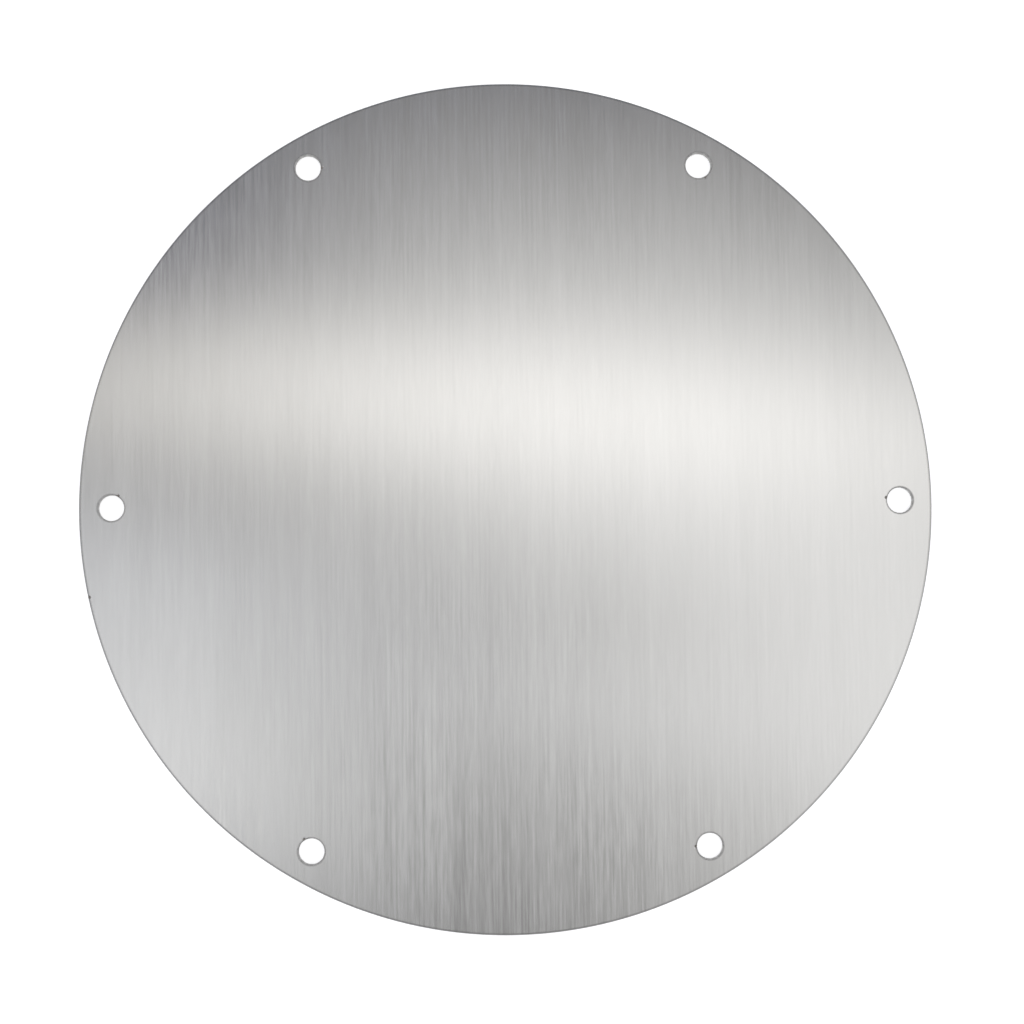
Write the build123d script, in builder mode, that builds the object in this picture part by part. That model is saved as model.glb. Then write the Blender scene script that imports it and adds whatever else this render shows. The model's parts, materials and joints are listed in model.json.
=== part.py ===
"""Round cover plate: a flat disc cut from brushed stainless sheet, with screw holes around its rim.

The plate closes a round opening. Its back lies flat on the surround and a ring of screws holds it.
Frame: origin at the centre of the back face, +Z out of the brushed front face, +X through one
screw hole, and the brushing runs along Y. Lengths are in millimetres and angles in degrees.
"""

import os

from build123d import *

# Driving dimensions
plate_diameter = 200.0
sheet_thickness = 1.5
screw_hole_count = 6
screw_hole_diameter = 6.0
rim_to_hole_centre = 7.5

# Edges are eased so that they don't scratch: the front of the rim on a belt, the holes with a
# countersink, and the back only enough to take the burr off
rim_edge_radius = 0.25
hole_edge_chamfer = 0.25
back_edge_chamfer = 0.1

# Each cut left a half-round start pit in the front face, just beside its edge.
# Hole pit angles turn about the hole, from the direction of the plate's centre.
start_pit_radius = 0.3
edge_to_pit_centre = 0.35
first_hole_pit_angle = -12.0
other_hole_pit_angle = 60.0
rim_pit_angle = 192.0

plate_radius = plate_diameter / 2
screw_hole_radius = screw_hole_diameter / 2
pitch_circle_radius = plate_radius - rim_to_hole_centre
hole_pit_angles = [first_hole_pit_angle] + [other_hole_pit_angle] * (screw_hole_count - 1)

with BuildPart() as cover_plate:
    # The blank with its ring of round screw holes
    with BuildSketch():
        Circle(plate_radius)
        with PolarLocations(pitch_circle_radius, screw_hole_count) as screw_holes:
            Circle(screw_hole_radius, mode=Mode.SUBTRACT)
    extrude(amount=sheet_thickness)

    # Eased edges
    back_face, front_face = cover_plate.faces().filter_by(Axis.Z).sort_by(Axis.Z)
    chamfer(back_face.edges(), length=back_edge_chamfer)
    chamfer(front_face.inner_wires().edges(), length=hole_edge_chamfer)
    fillet(front_face.outer_wire().edges(), radius=rim_edge_radius)

    # Start pits, one beside each hole and one inside the rim
    beside_hole = Location((screw_hole_radius + edge_to_pit_centre, 0, sheet_thickness))
    beside_rim = Location((plate_radius - edge_to_pit_centre, 0, sheet_thickness))
    hole_pits = [
        screw_hole * Location((0, 0, 0), (0, 0, 180.0 + pit_angle)) * beside_hole
        for screw_hole, pit_angle in zip(screw_holes.locations, hole_pit_angles)
    ]
    rim_pit = Location((0, 0, 0), (0, 0, rim_pit_angle)) * beside_rim
    with Locations(*hole_pits, rim_pit):
        Sphere(start_pit_radius, mode=Mode.SUBTRACT)

cover_plate.part.label = "cover_plate"

os.makedirs("parts", exist_ok=True)
export_step(cover_plate.part, "parts/cover_plate.step")
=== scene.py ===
"""Dresses the round cover plate: its smooth surface, its metal finishes and the studio around it.

Everything is in metres, in the plate's own frame: the back lies on Z = 0, the brushed front faces
+Z, one screw hole is on +X and the brushing runs along Y.
"""

import json
import math

import bmesh
import bpy
import numpy as np
from bpy.props import FloatProperty, FloatVectorProperty, IntProperty, PointerProperty
from bpy.types import Operator, Panel, PropertyGroup
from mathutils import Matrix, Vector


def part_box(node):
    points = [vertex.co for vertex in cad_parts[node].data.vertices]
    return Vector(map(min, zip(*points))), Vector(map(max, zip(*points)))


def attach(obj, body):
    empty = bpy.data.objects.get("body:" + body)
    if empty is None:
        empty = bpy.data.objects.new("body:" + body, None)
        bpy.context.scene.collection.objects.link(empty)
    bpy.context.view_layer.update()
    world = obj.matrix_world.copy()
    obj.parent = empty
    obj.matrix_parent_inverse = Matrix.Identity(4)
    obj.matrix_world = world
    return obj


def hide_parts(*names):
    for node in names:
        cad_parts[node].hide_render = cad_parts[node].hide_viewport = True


bl_info = {
    "name": "Round cover plate",
    "version": (1, 0, 0),
    "blender": (4, 5, 0),
    "location": "3D View > Sidebar > Cover plate",
    "description": "Builds a brushed round cover plate with a ring of screw holes, and its studio",
    "category": "Add Mesh",
}

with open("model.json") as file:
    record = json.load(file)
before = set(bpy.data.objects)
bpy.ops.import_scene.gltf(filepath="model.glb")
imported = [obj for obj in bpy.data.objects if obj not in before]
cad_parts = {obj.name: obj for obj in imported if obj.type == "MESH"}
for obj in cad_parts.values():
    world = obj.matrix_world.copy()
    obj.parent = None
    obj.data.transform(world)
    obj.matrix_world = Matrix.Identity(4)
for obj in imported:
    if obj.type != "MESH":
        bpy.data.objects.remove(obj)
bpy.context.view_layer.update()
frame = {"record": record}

MM = 0.001
PLATE_NODE = "cover_plate"
PLATE_LOW, PLATE_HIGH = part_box(PLATE_NODE)
SCREW_HOLES = next(m for m in frame["record"]["mounts"] if m["name"] == "screw_holes")["dims"]

# Where each cut's start pit is. A hole's pit has its angle about the hole, from the direction of
# the plate's centre. The holes are counted anticlockwise from +X, and any more of them take the
# last angle. The rim's pit has its angle about the plate's centre.
HOLE_PIT_DEGREES = (-12.0, 60.0, 60.0, 60.0, 60.0, 60.0)
RIM_PIT_DEGREES = 192.0

# Zones of the surface
RIM_BAND = 1.0 * MM  # how far in from the rim its even rows go
HOLE_MARGIN = 1.2 * MM  # how far out from a hole its even rows go
INNER_DISC_SHARE = 0.6  # radius of the disc inside the ring of holes, as a share of the plate's

# How finely the surface is divided. A row follows a cut, and a step is the space between two.
RIM_STEPS = 96  # along the rim, per hole
SIDE_STEPS = 32  # along each straight side of a hole's sector
INNER_STEPS = 32  # along the inner arc of a hole's sector
BAND_ROWS = 12
MARGIN_ROWS = 14
CHAMFER_ROWS = 5
WALL_ROWS = 4
ROUND_STEPS = 8
DISC_ROWS = 7
SECTOR_SHARES = (1.0, 0.74, 0.52, 0.35, 0.22, 0.12, 0.05, 0.0)  # rows from outline to margin
PIT_CROWDING = 12.0  # columns added at the rim's pit, as a multiple of the even spread
PIT_CROWD_WIDTH = 1.6  # half width of that crowd, in radii of the pit
CROWD_SAMPLES = 6001  # places at which the crowd's running sum is taken
WELD_DISTANCE = 0.001 * MM
SHARP_DEGREES = 35.0  # edges that turn by more are shaded as sharp

# Layout of the bake map, in shares of the image
BAKE_MAP = "OFBake"
FRONT_SPOT = (0.408, 0.408, 0.4)  # centre and radius
BACK_SPOT = (0.81, 0.81, 0.18)
STRIP_SCALE = 3.6  # per metre of edge
STRIP_HEIGHT = 0.02
STRIP_PITCH = 1.6 * STRIP_HEIGHT
HOLE_STRIP_CORNER = (0.82, 0.03)  # of the first hole's strip
RIM_STRIP_CORNER = (0.01, 0.85)  # of the rim's first strip
RIM_STRIPS = 4

# The cut map tells a material where a point lies beside its nearest cut. The first value is the
# distance along the cut. The second is the point's height plus its distance from the cut wall, so
# that it goes on growing up the wall and out over the front.
CUT_MAP = "cut_path"
FAR_FROM_CUTS = 1.0  # both values where no cut is near
HOLE_TINT_FADE = 1.8  # how many times faster the second value grows beside a hole than at the rim

FRONT, EDGE, BACK, PIT = range(4)


def linear(hex_colour):
    """The linear RGBA of an sRGB colour written as #RRGGBB."""
    srgb = [int(hex_colour[i : i + 2], 16) / 255 for i in (1, 3, 5)]
    rgb = [c / 12.92 if c <= 0.04045 else ((c + 0.055) / 1.055) ** 2.4 for c in srgb]
    return (*rgb, 1.0)


# ---------------------------------------------------------------- shape


def drawn_together(low, high, steps, centre, width, crowding):
    """Angles from low to high, evenly spread but drawn together at centre.

    The running sum of 1 + crowding * exp(-((angle - centre) / width) ** 2) is shared out evenly.
    """
    fine = np.linspace(low, high, CROWD_SAMPLES)
    density = 1 + crowding * np.exp(-(((fine - centre) / width) ** 2))
    total = np.concatenate([[0.0], np.cumsum((density[1:] + density[:-1]) / 2)])
    return np.interp(np.linspace(0, total[-1], steps + 1), total, fine)


def on_circle(radius, angle, z=0.0):
    """Points at radius and angle about the Z axis: (radius cos angle, radius sin angle, z)."""
    radius, angle, z = np.broadcast_arrays(radius, angle, z)
    return np.stack([radius * np.cos(angle), radius * np.sin(angle), z], -1)


def away_from(points, centres):
    """How far each point is from the nearest of the centres, seen from above."""
    offset = points[..., None, :2] - centres
    return np.hypot(offset[..., 0], offset[..., 1]).min(-1)


class Shell:
    """A closed surface gathered from grids of points, with a finish and map places for each."""

    def __init__(self):
        self.points, self.quads, self.finish, self.bake, self.cut = [], [], [], [], []
        self.size = 0

    def add(self, points, finish, bake, cut=None, turned=False):
        """Adds a grid of rows by columns by 3 as quads.

        The corner order is (row, column), (row + 1, column), (row + 1, column + 1),
        (row, column + 1), or its reverse if turned. bake and cut are grids of places on the bake
        map and on the cut map.
        """
        rows, columns = points.shape[:2]
        index = np.arange(rows * columns).reshape(rows, columns)
        ring = [index[:-1, :-1], index[1:, :-1], index[1:, 1:], index[:-1, 1:]]
        corners = np.stack(ring[::-1] if turned else ring, -1).reshape(-1, 4)
        cut = np.full((rows, columns, 2), FAR_FROM_CUTS) if cut is None else cut
        self.points.append(points.reshape(-1, 3))
        self.quads.append(corners + self.size)
        self.finish.append(np.full(len(corners), finish))
        self.bake.append(bake.reshape(-1, 2)[corners])
        self.cut.append(cut.reshape(-1, 2)[corners])
        self.size += rows * columns

    def mesh(self, name, pits, pit_radius):
        """The welded mesh. Faces whose middle lies in a pit of the front take the pit's finish."""
        points, quads = np.concatenate(self.points), np.concatenate(self.quads)
        finish = np.concatenate(self.finish)
        away = away_from(points[quads].mean(1), pits)
        finish[(away < pit_radius) & (finish != BACK)] = PIT
        mesh = bpy.data.meshes.new(name)
        mesh.from_pydata(points, [], quads)
        mesh.polygons.foreach_set("material_index", finish)
        for layer, places in ((BAKE_MAP, self.bake), (CUT_MAP, self.cut)):
            mesh.uv_layers.new(name=layer, do_init=False)
            mesh.uv_layers[layer].uv.foreach_set("vector", np.concatenate(places).ravel())
        mesh.uv_layers.active = mesh.uv_layers[BAKE_MAP]
        mesh.uv_layers[BAKE_MAP].active_render = True
        welded = bmesh.new()
        welded.from_mesh(mesh)
        bmesh.ops.remove_doubles(welded, verts=welded.verts, dist=WELD_DISTANCE)
        welded.to_mesh(mesh)
        welded.free()
        mesh.shade_smooth()
        mesh.set_sharp_from_angle(angle=math.radians(SHARP_DEGREES))
        return mesh


def flat_places(points, spot, plate_radius, mirrored=False):
    """Bake map places seen straight on: the plate's X and Y scaled into a round spot."""
    x, y, share = spot
    across = -points[..., 0] if mirrored else points[..., 0]
    return np.stack([across, points[..., 1]], -1) * share / plate_radius + (x, y)


def strip_places(path, height, thickness, first_corner, number):
    """Bake map places of a wall rolled out flat: distance along the cut, and height as a strip.

    A strip's corner is the first one's corner plus its number times the pitch.
    """
    corner = (first_corner[0], first_corner[1] + number * STRIP_PITCH)
    return np.stack([path * STRIP_SCALE, height / thickness * STRIP_HEIGHT], -1) + corner


def pit_centres(sizes):
    """The X and Y of the start pits: one beside each hole, and the rim's.

    A hole's pit is at its centre plus the wall's radius and the pit's distance, along the
    direction of the plate's centre turned by the pit's angle.
    """
    angle = np.arange(sizes.hole_count) * 2 * np.pi / sizes.hole_count
    last = len(HOLE_PIT_DEGREES) - 1
    turn = np.radians([HOLE_PIT_DEGREES[min(number, last)] for number in range(sizes.hole_count)])
    reach = sizes.hole_diameter / 2 + sizes.pit_distance
    holes = on_circle(sizes.hole_circle_diameter / 2, angle) + on_circle(reach, angle + np.pi + turn)
    rim = on_circle(sizes.plate_diameter / 2 - sizes.pit_distance, np.radians(RIM_PIT_DEGREES))
    return np.vstack([holes, rim[None]])[:, :2]


def pressed(points, pits, pit_radius, front):
    """Points lowered into half-round pits: z is at most front - sqrt(pit_radius² - away²)."""
    away = away_from(points, pits)
    floor = front - np.sqrt(np.clip(pit_radius**2 - away**2, 0, None))
    lowered = points.copy()
    lowered[..., 2] = np.where(away < pit_radius, np.minimum(points[..., 2], floor), points[..., 2])
    return lowered


def add_hole_sector(shell, sizes, number, rim_angles, pits):
    """Adds the sector round one hole: front, countersunk edge, wall, back edge and back.

    A column runs from the sector's outline in to the hole, down through it and out again on the
    back. Between outline and margin, a point is (1 - share) * ring + share * outline, where the
    ring is the margin's circle round the hole and share goes from 1 to 0. The outline is the rim
    band's inner edge, two straight sides and an arc of the inner disc. The sector is worked out
    for a hole on +X and then turned about the plate's centre, and the start pits are pressed into
    its front and into the edge there.
    """
    half = np.pi / sizes.hole_count
    heading = 2 * half * number
    radius, thickness = sizes.plate_diameter / 2, sizes.sheet_thickness
    hole = sizes.hole_diameter / 2
    chamfer, back_chamfer = sizes.hole_edge_chamfer, sizes.back_edge_chamfer
    outer, inner = radius - RIM_BAND, radius * INNER_DISC_SHARE
    local = rim_angles - heading
    inward = np.linspace(outer, inner, SIDE_STEPS + 1)[1:]
    arc = np.linspace(half, -half, INNER_STEPS + 1)[1:]
    outline = np.concatenate(
        [
            on_circle(outer, local),
            on_circle(inward, half),
            on_circle(inner, arc),
            on_circle(inward[::-1][1:], -half),
            on_circle(outer, local[:1]),
        ]
    )
    columns = len(outline)
    start = -np.pi * RIM_STEPS / (columns - 1)
    spokes = start + np.linspace(0, 2 * np.pi, columns)
    centre = np.array([sizes.hole_circle_diameter / 2, 0.0, 0.0])

    def round_hole(ring, z):
        return centre + on_circle(ring, spokes, z)

    ring = hole + HOLE_MARGIN
    share = np.array(SECTOR_SHARES)[:, None, None]
    sector = (1 - share) * round_hole(ring, 0.0) + share * outline
    up = np.array([0.0, 0.0, thickness])
    margin = np.linspace(ring, hole + chamfer, MARGIN_ROWS)[1:, None]
    slope = np.linspace(chamfer, 0, CHAMFER_ROWS)[:, None]
    back_slope = np.array([[0.0], [back_chamfer]])
    depths = np.linspace(thickness - chamfer, back_chamfer, WALL_ROWS)[:, None]
    front = np.concatenate([sector + up, round_hole(margin, thickness)])
    front_edge = round_hole(hole + slope, thickness - chamfer + slope)
    wall = round_hole(hole, depths)
    back_edge = round_hole(hole + back_slope, back_chamfer - back_slope)
    back = np.concatenate([round_hole(hole + back_chamfer, 0.0)[None], sector[::-1]])

    cosine, sine = math.cos(heading), math.sin(heading)
    turn = np.array([[cosine, sine, 0.0], [-sine, cosine, 0.0], [0.0, 0.0, 1.0]])
    for points, finish, kind in (
        (front, FRONT, "front"),
        (front_edge, EDGE, "front"),
        (wall, EDGE, "strip"),
        (back_edge, EDGE, "back"),
        (back, BACK, "back"),
    ):
        away = np.linalg.norm((points - centre)[..., :2], axis=-1) - hole
        away = away + np.maximum(away - chamfer, 0) * (HOLE_TINT_FADE - 1)
        path = np.broadcast_to((spokes - start) * hole, points.shape[:2])
        cut = np.stack([path, points[..., 2] + away], -1)
        points = points @ turn
        if kind == "front":
            points = pressed(points, pits, sizes.pit_radius, thickness)
            bake = flat_places(points, FRONT_SPOT, radius)
        elif kind == "strip":
            bake = strip_places(path, points[..., 2], thickness, HOLE_STRIP_CORNER, number)
        else:
            bake = flat_places(points, BACK_SPOT, radius, mirrored=True)
        shell.add(points, finish, bake, cut, turned=True)


def add_rim(shell, sizes, rim_angles, pits):
    """Adds the rim: a profile of radius and height carried round the plate's centre.

    The profile runs out over a flat band, down a quarter circle, down the wall, in over the
    back's small chamfer and back in along the flat. The start pit is pressed into all of it but
    the back. The wall is laid out on the bake map in several strips, one over the other.
    """
    radius, thickness = sizes.plate_diameter / 2, sizes.sheet_thickness
    eased, back_eased = sizes.rim_edge_radius, sizes.back_edge_chamfer
    flat = np.linspace(radius - RIM_BAND, radius - eased, BAND_ROWS)
    band = np.stack([flat, np.full_like(flat, thickness)], -1)
    bend = np.linspace(0, np.pi / 2, ROUND_STEPS + 1)
    half = ROUND_STEPS // 2
    rounded = np.stack(
        [radius - eased + eased * np.sin(bend), thickness - eased + eased * np.cos(bend)], -1
    )
    down = np.linspace(thickness - eased, back_eased, WALL_ROWS)[1:]
    wall = np.concatenate([rounded[half:], np.stack([np.full_like(down, radius), down], -1)])
    back_edge = np.array([[radius, back_eased], [radius - back_eased, 0.0]])
    back = np.array([[radius - back_eased, 0.0], [radius - RIM_BAND, 0.0]])
    strips = np.array_split(np.arange(len(rim_angles) - 1), RIM_STRIPS)
    for profile, finish, kind in (
        (band, FRONT, "front"),
        (rounded[: half + 1], FRONT, "front"),
        (wall, EDGE, "strip"),
        (back_edge, EDGE, "back"),
        (back, BACK, "back"),
    ):
        points = on_circle(profile[:, :1], rim_angles, profile[:, 1:])
        path = np.broadcast_to(rim_angles * radius, points.shape[:2])
        away = np.broadcast_to(radius - profile[:, :1], points.shape[:2])
        cut = np.stack([path, points[..., 2] + away], -1)
        if kind == "back":
            bake = flat_places(points, BACK_SPOT, radius, mirrored=True)
            shell.add(points, finish, bake, cut)
            continue
        points = pressed(points, pits, sizes.pit_radius, thickness)
        if kind == "front":
            shell.add(points, finish, flat_places(points, FRONT_SPOT, radius), cut)
            continue
        for number, columns in enumerate(strips):
            part = slice(columns[0], columns[-1] + 2)
            along, height = path[:, part] - path[:, columns[:1]], points[:, part, 2]
            bake = strip_places(along, height, thickness, RIM_STRIP_CORNER, number)
            shell.add(points[:, part], finish, bake, cut[:, part])


def add_inner_disc(shell, sizes):
    """Adds the middle of the front and back: circles round the centre, down to radius 0."""
    radius = sizes.plate_diameter / 2
    angles = np.linspace(0, 2 * np.pi, sizes.hole_count * INNER_STEPS + 1) + np.pi / sizes.hole_count
    rings = np.linspace(radius * INNER_DISC_SHARE, 0, DISC_ROWS)[:, None]
    front = on_circle(rings, angles, sizes.sheet_thickness)
    back = on_circle(rings, angles, 0.0)
    shell.add(front, FRONT, flat_places(front, FRONT_SPOT, radius), turned=True)
    shell.add(back, BACK, flat_places(back, BACK_SPOT, radius, mirrored=True))


def plate_mesh(sizes):
    """The whole plate as one closed surface. The rim's columns stand closer at its start pit."""
    half = np.pi / sizes.hole_count
    pits = pit_centres(sizes)
    pit_turn = math.radians(RIM_PIT_DEGREES)
    width = PIT_CROWD_WIDTH * sizes.pit_radius / (sizes.plate_diameter / 2)
    shell = Shell()
    sectors = []
    for number in range(sizes.hole_count):
        low, high = (2 * number - 1) * half, (2 * number + 1) * half
        crowding = PIT_CROWDING if low < pit_turn < high else 0.0
        sectors.append(drawn_together(low, high, RIM_STEPS, pit_turn, width, crowding))
    for number, rim_angles in enumerate(sectors):
        add_hole_sector(shell, sizes, number, rim_angles, pits)
    rim = np.concatenate([sectors[0]] + [angles[1:] for angles in sectors[1:]])
    add_rim(shell, sizes, rim, pits)
    add_inner_disc(shell, sizes)
    return shell.mesh("round_cover_plate", pits, sizes.pit_radius)


# ---------------------------------------------------------------- finishes

# Layers of the brushed grain: how wide and how long their marks are in mm, and the noise's detail
GRAIN_LAYERS = {
    "hairs": (0.7, 30, 1.0),
    "nicks": (0.6, 5, 1.0),
    "strokes": (0.5, 8, 2.0),
    "lines": (0.55, 50, 2.0),
    "bands": (4, 60, 2.0),
}
# What each layer adds to the marks that the belt bit, and to the soft change of shade over all
MARK_WEIGHTS = {"lines": 1.0, "strokes": 0.9, "bands": 0.3}
SOFT_WEIGHTS = {"hairs": 1.0, "nicks": 1.0, "bands": 1.6}
SOFT_REACH = 0.9  # the weighted sum at which the soft change is full
SOFT_SHADE = 0.3  # how far towards light or dark a full soft change goes
MARK_SHADE = 0.75  # how far from dark to light a full mark goes
MARK_GLOSS = 0.05  # how much roughness a full mark adds

# Painted light: the lines show more towards both ends along Y, where light is dim, and less on +X,
# where it is bright
STROKE_MIDDLE = 10 * MM  # half the length of the even middle along Y
STROKE_END = 85 * MM  # from the middle to where the lines show most
STROKE_CURVE = 1.5  # power by which the bite grows
STROKE_BITE = (0.45, 2.4)  # in the middle and at the ends
PATCH_SIZE = (30 * MM, 60 * MM)  # across and along the brushing
PATCH_BITE = (0.7, 1.25)  # from patch to patch
PATCH_SHIFT = (3.0, 6.75, 0)  # picks the stretch of noise that the patches come from
LIGHT_SIDE = (15 * MM, 45 * MM)  # X at which the contrast starts to fall, and stops
LIGHT_PRESSURE = 0.65

# Ranges of a noise's values that are taken to the whole of another range, with the rest held
NOISE_MIDDLE = (0.35, 0.65)
NOISE_MOST = (0.3, 0.7)

PAPER_GLOW = 0.58  # on top of what the lit paper sends back, this much makes it plain white


def add(tree, kind, inputs=None, **settings):
    """Adds a node with its settings, and fills its inputs with values or with links."""
    node = tree.nodes.new("ShaderNode" + kind)
    for name, value in settings.items():
        setattr(node, name, value)
    for socket, value in (inputs or {}).items():
        if isinstance(value, bpy.types.NodeSocket):
            tree.links.new(value, node.inputs[socket])
        else:
            node.inputs[socket].default_value = value
    return node


def maths(tree, operation, *values):
    """The result of a Math node on numbers or sockets."""
    return add(tree, "Math", dict(enumerate(values)), operation=operation).outputs["Value"]


def spread(tree, value, low, high, to_low, to_high, interpolation="LINEAR"):
    """value taken from low..high to to_low..to_high, and held at the ends."""
    inputs = {"Value": value, "From Min": low, "From Max": high, "To Min": to_low, "To Max": to_high}
    return add(tree, "MapRange", inputs, interpolation_type=interpolation).outputs["Result"]


def blend(tree, share, start, end, blend_type="MIX"):
    """A colour that goes from start to end as share goes from 0 to 1."""
    inputs = {"Factor": share, "A": start, "B": end}
    return add(tree, "Mix", inputs, data_type="RGBA", blend_type=blend_type).outputs["Result"]


def scaled(tree, colour, level):
    """A colour times a level."""
    inputs = {0: colour, "Scale": level}
    return add(tree, "VectorMath", inputs, operation="SCALE").outputs["Vector"]


def streaks(tree, place, across, along, detail=2.0, shift=(0, 0, 0)):
    """Long narrow noise: lines about across wide and along long, in metres, running along Y."""
    scale = (1 / across, 1 / along, 1 / across)
    mapped = add(tree, "Mapping", {"Vector": place, "Location": shift, "Scale": scale})
    inputs = {"Vector": mapped.outputs["Vector"], "Scale": 1.0, "Detail": detail}
    return add(tree, "TexNoise", inputs).outputs["Fac"]


def bumped(tree, height, strength, distance):
    """The surface's direction as a height map tilts it.

    A height of 1 is distance metres up, and strength is the share of the tilt that is kept.
    """
    inputs = {"Height": height, "Strength": strength, "Distance": distance}
    return add(tree, "Bump", inputs).outputs["Normal"]


def weighted(tree, layers, weights):
    """The sum of weight * (layer - 0.5) over the layers that have a weight."""
    total = 0.0
    for name, weight in weights.items():
        centred = maths(tree, "SUBTRACT", layers[name], 0.5)
        total = maths(tree, "MULTIPLY_ADD", centred, weight, total)
    return total


def new_material(name):
    """A material whose node tree is empty, and that tree."""
    material = bpy.data.materials.new(name)
    material.use_nodes = True
    material.node_tree.nodes.clear()
    return material, material.node_tree


def finish_metal(tree, inputs):
    """Ends a tree with a Principled shader, fully metallic unless its inputs say otherwise."""
    shader = add(tree, "BsdfPrincipled", {"Metallic": 1.0, **inputs})
    add(tree, "OutputMaterial", {"Surface": shader.outputs["BSDF"]})


def belt_bite(tree, place, y, pressure):
    """Painted light: how strongly the lines show, by Y, times a slow change from patch to patch,
    times the side factor.
    """
    from_middle = maths(tree, "ABSOLUTE", y)
    towards_end = spread(tree, from_middle, STROKE_MIDDLE, STROKE_END, 0.0, 1.0)
    heavier = maths(tree, "POWER", towards_end, STROKE_CURVE)
    stroke = spread(tree, heavier, 0.0, 1.0, *STROKE_BITE)
    patches = streaks(tree, place, *PATCH_SIZE, detail=1.0, shift=PATCH_SHIFT)
    patch = spread(tree, patches, *NOISE_MIDDLE, *PATCH_BITE)
    return maths(tree, "MULTIPLY", maths(tree, "MULTIPLY", stroke, patch), pressure)


def brushed_front(finish, sizes):
    """304 stainless, brushed in one direction with a fine belt: even grey with hair-fine lines.

    Such a belt's lines are about 0.1 mm wide. They are drawn 0.5 to 0.7 mm wide, with broad faint
    bands over them, so that they still show at arm's length. They spread a reflection sideways
    and leave it sharper along the brushing. A rougher line is also a lighter one, so the lines
    stand out where the light is dim and fade where it is bright. On top of that, their contrast is
    painted light: stronger towards both ends along Y and weaker on the +X side. A thin band along
    the rim and the holes is painted shade, darker than the rest of the face.
    """
    material, tree = new_material("brushed_304_stainless")
    place = add(tree, "TexCoord").outputs["Object"]
    parts = add(tree, "SeparateXYZ", {"Vector": place}).outputs
    layers = {
        name: streaks(tree, place, across * MM, along * MM, detail)
        for name, (across, along, detail) in GRAIN_LAYERS.items()
    }
    # Painted light: the lines show less on the +X side, where the light is bright, and more where it
    # is dim
    pressure = spread(tree, parts["X"], *LIGHT_SIDE, 1.0, LIGHT_PRESSURE)
    bite = belt_bite(tree, place, parts["Y"], pressure)
    marks = maths(tree, "MULTIPLY", weighted(tree, layers, MARK_WEIGHTS), bite)
    soft = weighted(tree, layers, SOFT_WEIGHTS)
    soft = spread(tree, soft, -SOFT_REACH, SOFT_REACH, -SOFT_SHADE, SOFT_SHADE)
    soft = maths(tree, "MULTIPLY_ADD", soft, pressure, 0.5)
    shade = maths(tree, "MULTIPLY_ADD", marks, MARK_SHADE, soft)
    tone = blend(tree, shade, finish.front_dark, finish.front_light)

    cut = add(tree, "UVMap", uv_map=CUT_MAP).outputs["UV"]
    away = add(tree, "SeparateXYZ", {"Vector": cut}).outputs["Y"]
    # Painted shade: the brushed colour is darkened in a thin band beside the rim and the holes, for
    # the dark line along the eased edges
    edge = sizes.sheet_thickness + sizes.rim_edge_radius
    hot = spread(tree, away, edge, edge + sizes.heat_tint_width, 1.0, 0.0)
    tangent = add(tree, "Tangent", direction_type="UV_MAP", uv_map=BAKE_MAP)
    finish_metal(
        tree,
        {
            "Base Color": blend(tree, hot, tone, finish.heat_tint, blend_type="MULTIPLY"),
            "Roughness": maths(tree, "MULTIPLY_ADD", marks, MARK_GLOSS, finish.front_roughness),
            "Anisotropic": 0.7,
            "Tangent": tangent.outputs["Tangent"],
            "Normal": bumped(tree, layers["lines"], 0.2, 0.001 * MM),
        },
    )
    return material


def mill_back(finish):
    """Stainless sheet as rolled and pickled: a dull, even grey with faint cloudy mottling."""
    material, tree = new_material("pickled_mill_stainless")
    place = add(tree, "TexCoord").outputs["Object"]
    cloud = streaks(tree, place, 12 * MM, 20 * MM, detail=4.0)
    grain = streaks(tree, place, 0.5 * MM, 0.8 * MM)
    mottling = spread(tree, cloud, *NOISE_MOST, 0.0, 1.0)
    finish_metal(
        tree,
        {
            "Base Color": blend(tree, mottling, finish.back_dark, finish.back_light),
            "Roughness": spread(tree, cloud, *NOISE_MOST, 0.36, 0.44),
            "Normal": bumped(tree, grain, 0.15, 0.01 * MM),
        },
    )
    return material


def cut_edge(finish):
    """Stainless cut through by a beam: a darker, greyer wall with drag lines across its depth.

    Real drag lines are 0.2 mm apart. They are drawn at 0.4 mm so that they show.
    """
    material, tree = new_material("beam_cut_stainless_edge")
    place = add(tree, "UVMap", uv_map=CUT_MAP).outputs["UV"]
    lines = streaks(tree, place, 0.4 * MM, 3 * MM)
    ridges = spread(tree, lines, *NOISE_MIDDLE, 0.0, 1.0)
    finish_metal(
        tree,
        {
            "Base Color": blend(tree, ridges, finish.edge_dark, finish.edge_light),
            "Roughness": spread(tree, lines, *NOISE_MIDDLE, 0.5, 0.38),
            "Normal": bumped(tree, lines, 0.5, 0.02 * MM),
        },
    )
    return material


def burnt_pit(finish):
    """The scorched spot where the beam first broke through: rough, grey-brown oxide.

    It looks darker than its colour because it lies in a hollow.
    """
    material, tree = new_material("scorched_start_pit")
    place = add(tree, "TexCoord").outputs["Object"]
    crust = streaks(tree, place, 0.15 * MM, 0.15 * MM)
    finish_metal(
        tree,
        {
            "Base Color": blend(tree, crust, finish.pit_dark, finish.pit_light),
            "Metallic": 0.6,
            "Roughness": spread(tree, crust, *NOISE_MOST, 0.55, 0.75),
        },
    )
    return material


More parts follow.
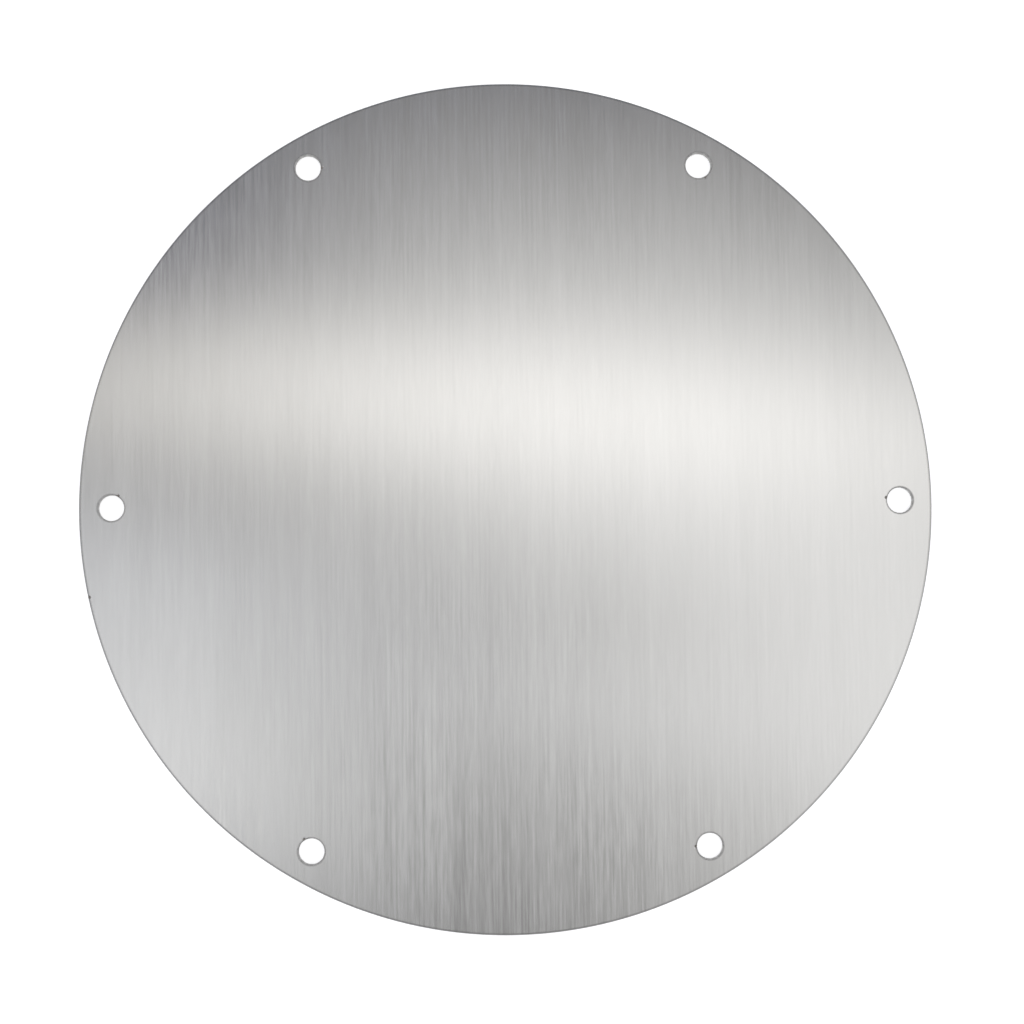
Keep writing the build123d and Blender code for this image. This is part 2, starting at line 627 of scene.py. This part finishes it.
def white_paper(finish):
    """Matte white paper under the plate. It reads as plain white, and keeps contact shadows.

    Its glow is there for the camera, in reflections and through glass, and lights nothing else.
    """
    material, tree = new_material("matte_white_paper")
    paper = add(tree, "BsdfDiffuse", {"Color": finish.paper})
    glow = add(tree, "Emission", {"Strength": PAPER_GLOW})
    none = add(tree, "Emission", {"Strength": 0.0})
    path = add(tree, "LightPath").outputs
    seen = maths(tree, "ADD", path["Is Camera Ray"], path["Is Glossy Ray"])
    seen = maths(tree, "ADD", seen, path["Is Transmission Ray"])
    only = add(tree, "MixShader", {0: seen, 1: none.outputs[0], 2: glow.outputs[0]})
    both = add(tree, "AddShader", {0: paper.outputs[0], 1: only.outputs[0]})
    add(tree, "OutputMaterial", {"Surface": both.outputs[0]})
    return material


# ---------------------------------------------------------------- studio

# Soft panels overhead: colour, strength, then where a panel's middle stands and its half width and
# height, as metres across per metre up, and how far it is turned, in degrees. A negative strength
# is a dark card, which takes light away.
PANELS = (
    ("#FFFCF6", 1.35, -0.20, 0.131, 0.356, 0.029, -3.9),
    ("#FFFEFC", 1.18, 0.152, 0.056, 0.311, 0.127, -39.7),
    ("#FFFFFE", 1.99, -0.216, -0.088, 0.107, 0.062, -36.8),
    ("#FBFCFF", 1.22, -0.485, 0.10, 0.378, 0.030, -15.7),
    ("#FFFFFF", -0.60, 0.014, -0.015, 0.089, 0.020, -2.6),
)
SOFT_EDGE = 2.35  # where a panel's light ends, in half sizes from its middle
CEILING_SLOPE = (0.9, -0.76)  # how much the ceiling brightens along x / z and y / z
SLOPE_REACH = 0.5  # x / z and y / z at which it stops
CEILING_TINT = (1.01, 1.0, 0.98)  # faintly warm
DARKEST = (0.0, 0.02, 0.13)  # the least light from any place on the ceiling: a bluish dark
WALL_TINT = (1.0, 1.01, 1.05)  # faintly cool

# Heights of a direction, as the Z part of its unit vector
LOWEST_READ = 0.2  # a lower direction meets the ceiling as if it were this high
WALL_FADE = (0.3, 0.75)  # between these the walls dim
WALL_LEVELS = (1.0, 0.82)  # from this level to that
CEILING_EDGE = (0.75, 0.93)  # between these the walls give way to the ceiling

FLOOR_SIZE = 8.0
FLOOR_GAP = 0.02 * MM  # keeps the floor clear of the plate's back
CAMERA_NEAR = 10 * MM


def studio_world(studio):
    """White walls all round, and a dim ceiling with soft panels over the plate.

    A direction is read as the place where it meets a ceiling 1 m up: x / z and y / z. A panel's
    light falls smoothly from its middle to SOFT_EDGE times its half size.
    """
    world = bpy.data.worlds.new("studio")
    world.use_nodes = True
    tree = world.node_tree
    tree.nodes.clear()
    way = add(tree, "TexCoord").outputs["Generated"]
    parts = add(tree, "SeparateXYZ", {"Vector": way}).outputs
    up = maths(tree, "MAXIMUM", parts["Z"], LOWEST_READ)
    spot = [maths(tree, "DIVIDE", parts[axis], up) for axis in "XY"]
    level = studio.ceiling
    for across, slope in zip(spot, CEILING_SLOPE):
        near = spread(tree, across, -SLOPE_REACH, SLOPE_REACH, -SLOPE_REACH, SLOPE_REACH)
        level = maths(tree, "MULTIPLY_ADD", near, slope, level)
    light = scaled(tree, CEILING_TINT, level)
    ceiling = add(tree, "CombineXYZ", {"X": spot[0], "Y": spot[1]}).outputs["Vector"]
    for colour, strength, x, y, width, height, turn in PANELS:
        local = add(
            tree,
            "Mapping",
            {
                "Vector": ceiling,
                "Location": (x, y, 0),
                "Rotation": (0, 0, math.radians(turn)),
                "Scale": (width, height, 1),
            },
            vector_type="TEXTURE",
        ).outputs["Vector"]
        away = add(tree, "VectorMath", {0: local}, operation="LENGTH").outputs["Value"]
        panel = spread(tree, away, 0, SOFT_EDGE, strength, 0, interpolation="SMOOTHSTEP")
        inputs = {0: panel, 1: linear(colour)[:3], 2: light}
        light = add(tree, "VectorMath", inputs, operation="MULTIPLY_ADD").outputs["Vector"]
    light = add(tree, "VectorMath", {0: light, 1: DARKEST}, operation="MAXIMUM").outputs["Vector"]
    walls = scaled(tree, WALL_TINT, spread(tree, parts["Z"], *WALL_FADE, *WALL_LEVELS))
    height = spread(tree, parts["Z"], *CEILING_EDGE, 0, 1, interpolation="SMOOTHSTEP")
    shine = add(tree, "Background", {"Color": blend(tree, height, walls, light), "Strength": 1.0})
    add(tree, "OutputWorld", {"Surface": shine.outputs["Background"]})
    return world


def floor_mesh(size):
    """A flat square grid of four corners, size wide, a hair under the plate's back."""
    x, y = np.meshgrid([-size / 2, size / 2], [-size / 2, size / 2])
    points = np.stack([x, y, np.full_like(x, -FLOOR_GAP)], -1).reshape(-1, 3)
    mesh = bpy.data.meshes.new("paper_floor")
    mesh.from_pydata(points, [], np.array([[0, 1, 3, 2]]))
    return mesh


def shown(name, mesh, materials):
    """A new object in the scene for a mesh, with its materials."""
    piece = bpy.data.objects.new(name, mesh)
    for material in materials:
        mesh.materials.append(material)
    bpy.context.scene.collection.objects.link(piece)
    return piece


# ---------------------------------------------------------------- settings

COLOUR = {"size": 4, "subtype": "COLOR", "min": 0, "max": 1}


class PlateSizes(PropertyGroup):
    """The plate's sizes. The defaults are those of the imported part."""

    plate_diameter: FloatProperty(
        name="Plate diameter", description="Across the rim",
        default=2 * max(PLATE_HIGH[0], PLATE_HIGH[1]), unit="LENGTH",
    )
    sheet_thickness: FloatProperty(
        name="Sheet thickness", description="From back to front",
        default=PLATE_HIGH[2] - PLATE_LOW[2], unit="LENGTH",
    )
    hole_count: IntProperty(
        name="Screw holes", description="How many holes the ring has",
        default=SCREW_HOLES["count"], min=3,
    )
    hole_diameter: FloatProperty(
        name="Hole diameter", description="Across a screw hole's wall",
        default=2 * SCREW_HOLES["hole_r_mm"] * MM, unit="LENGTH",
    )
    hole_circle_diameter: FloatProperty(
        name="Hole circle diameter", description="Across the circle of hole centres",
        default=SCREW_HOLES["pcd_mm"] * MM, unit="LENGTH",
    )
    rim_edge_radius: FloatProperty(
        name="Rim edge radius", description="Rounding of the front of the rim",
        default=0.25 * MM, unit="LENGTH",
    )
    hole_edge_chamfer: FloatProperty(
        name="Hole edge chamfer", description="Countersunk ease of a hole's front edge",
        default=0.25 * MM, unit="LENGTH",
    )
    back_edge_chamfer: FloatProperty(
        name="Back edge chamfer", description="Ease of the edges at the back",
        default=0.1 * MM, unit="LENGTH",
    )
    # Painted shade: how wide the darkened band beside a cut is
    heat_tint_width: FloatProperty(
        name="Painted edge shade width", description="How far a cut's painted edge shade reaches over the face",
        default=0.4 * MM, unit="LENGTH",
    )
    pit_radius: FloatProperty(
        name="Start pit radius", description="Radius of the pit where a cut began",
        default=0.3 * MM, unit="LENGTH",
    )
    pit_distance: FloatProperty(
        name="Start pit distance", description="From a cut edge to the middle of its pit",
        default=0.35 * MM, unit="LENGTH",
    )


class PlateFinish(PropertyGroup):
    """The colours and gloss of the metal and of the paper floor."""

    front_roughness: FloatProperty(
        name="Front roughness", description="Gloss of the brushed face",
        default=0.2, subtype="FACTOR", min=0, max=1,
    )
    front_light: FloatVectorProperty(
        name="Front, light", description="The lighter lines of the brushed face",
        default=linear("#D4D4D4"), **COLOUR,
    )
    front_dark: FloatVectorProperty(
        name="Front, dark", description="The darker lines of the brushed face",
        default=linear("#C5C5C5"), **COLOUR,
    )
    # Painted shade: the colour that darkens the brushed face beside the cuts
    heat_tint: FloatVectorProperty(
        name="Painted edge shade", description="What the brushed colour is multiplied by beside a cut",
        default=linear("#CDCDCC"), **COLOUR,
    )
    back_light: FloatVectorProperty(
        name="Back, light", description="The lighter clouds of the unbrushed back",
        default=linear("#BDBDBA"), **COLOUR,
    )
    back_dark: FloatVectorProperty(
        name="Back, dark", description="The darker clouds of the unbrushed back",
        default=linear("#ABABA9"), **COLOUR,
    )
    edge_light: FloatVectorProperty(
        name="Edge, light", description="The lighter drag lines of the cut edges",
        default=linear("#B0AFAD"), **COLOUR,
    )
    edge_dark: FloatVectorProperty(
        name="Edge, dark", description="The darker drag lines of the cut edges",
        default=linear("#969593"), **COLOUR,
    )
    pit_light: FloatVectorProperty(
        name="Pit, light", description="The lighter crust of the start pits",
        default=linear("#ADA8A2"), **COLOUR,
    )
    pit_dark: FloatVectorProperty(
        name="Pit, dark", description="The darker crust of the start pits",
        default=linear("#847F79"), **COLOUR,
    )
    paper: FloatVectorProperty(
        name="Paper", description="The paper floor",
        default=linear("#F4F4F4"), **COLOUR,
    )


class StudioSettings(PropertyGroup):
    """The camera and the light."""

    lens: FloatProperty(
        name="Lens", description="Focal length in millimetres", default=60.0, min=10
    )
    camera_place: FloatVectorProperty(
        name="Camera place", description="Where the camera stands",
        default=(-0.00687, -0.02298, 0.40088), subtype="TRANSLATION", unit="LENGTH",
    )
    camera_turn: FloatVectorProperty(
        name="Camera turn", description="Tilt, lean and roll away from looking straight down",
        default=[math.radians(a) for a in (3.037, -1.105, -0.653)], subtype="EULER", unit="ROTATION",
    )
    ceiling: FloatProperty(
        name="Ceiling light", description="Level of the ceiling between its soft panels",
        default=0.07, min=0,
    )


class COVERPLATE_OT_build_plate(Operator):
    """Build the cover plate with its metal finishes"""

    bl_idname = "coverplate.build_plate"
    bl_label = "Build cover plate"

    def execute(self, context):
        scene = context.scene
        finish = scene.plate_finish
        materials = [
            brushed_front(finish, scene.plate_sizes),
            cut_edge(finish),
            mill_back(finish),
            burnt_pit(finish),
        ]
        plate = shown("round_cover_plate", plate_mesh(scene.plate_sizes), materials)
        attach(plate, "root")
        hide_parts(PLATE_NODE)
        return {"FINISHED"}


class COVERPLATE_OT_build_stage(Operator):
    """Lay the paper floor, and set up the light and the camera"""

    bl_idname = "coverplate.build_stage"
    bl_label = "Build stage"

    def execute(self, context):
        scene = context.scene
        studio = scene.studio_settings
        floor = shown("paper_floor", floor_mesh(FLOOR_SIZE), [white_paper(scene.plate_finish)])
        scene.world = studio_world(studio)
        camera = bpy.data.objects.new("camera", bpy.data.cameras.new("camera"))
        scene.collection.objects.link(camera)
        camera.data.lens = studio.lens
        camera.location = studio.camera_place
        camera.rotation_euler = studio.camera_turn
        camera.data.clip_start = CAMERA_NEAR
        scene.camera = camera
        scene.view_settings.view_transform = "Standard"
        return {"FINISHED"}


class COVERPLATE_PT_sidebar(Panel):
    """Sizes, finish, studio and the two build steps"""

    bl_idname = "COVERPLATE_PT_sidebar"
    bl_label = "Round cover plate"
    bl_space_type = "VIEW_3D"
    bl_region_type = "UI"
    bl_category = "Cover plate"

    def draw(self, context):
        for group in ("plate_sizes", "plate_finish", "studio_settings"):
            settings = getattr(context.scene, group)
            box = self.layout.box()
            for name in settings.bl_rna.properties.keys():
                if name not in ("rna_type", "name"):
                    box.prop(settings, name)
        self.layout.operator(COVERPLATE_OT_build_plate.bl_idname)
        self.layout.operator(COVERPLATE_OT_build_stage.bl_idname)


GROUPS = {
    "plate_sizes": PlateSizes,
    "plate_finish": PlateFinish,
    "studio_settings": StudioSettings,
}
TOOLS = (COVERPLATE_OT_build_plate, COVERPLATE_OT_build_stage, COVERPLATE_PT_sidebar)


def register():
    """Makes the settings, the steps and the sidebar known to Blender."""
    for cls in (*GROUPS.values(), *TOOLS):
        bpy.utils.register_class(cls)
    for name, group in GROUPS.items():
        setattr(bpy.types.Scene, name, PointerProperty(type=group))


def unregister():
    """Takes all of it away again."""
    for name in GROUPS:
        delattr(bpy.types.Scene, name)
    for cls in reversed((*GROUPS.values(), *TOOLS)):
        bpy.utils.unregister_class(cls)


def main():
    """Builds the plate and its stage."""
    register()
    bpy.ops.coverplate.build_plate()
    bpy.ops.coverplate.build_stage()


if __name__ == "__main__":
    main()
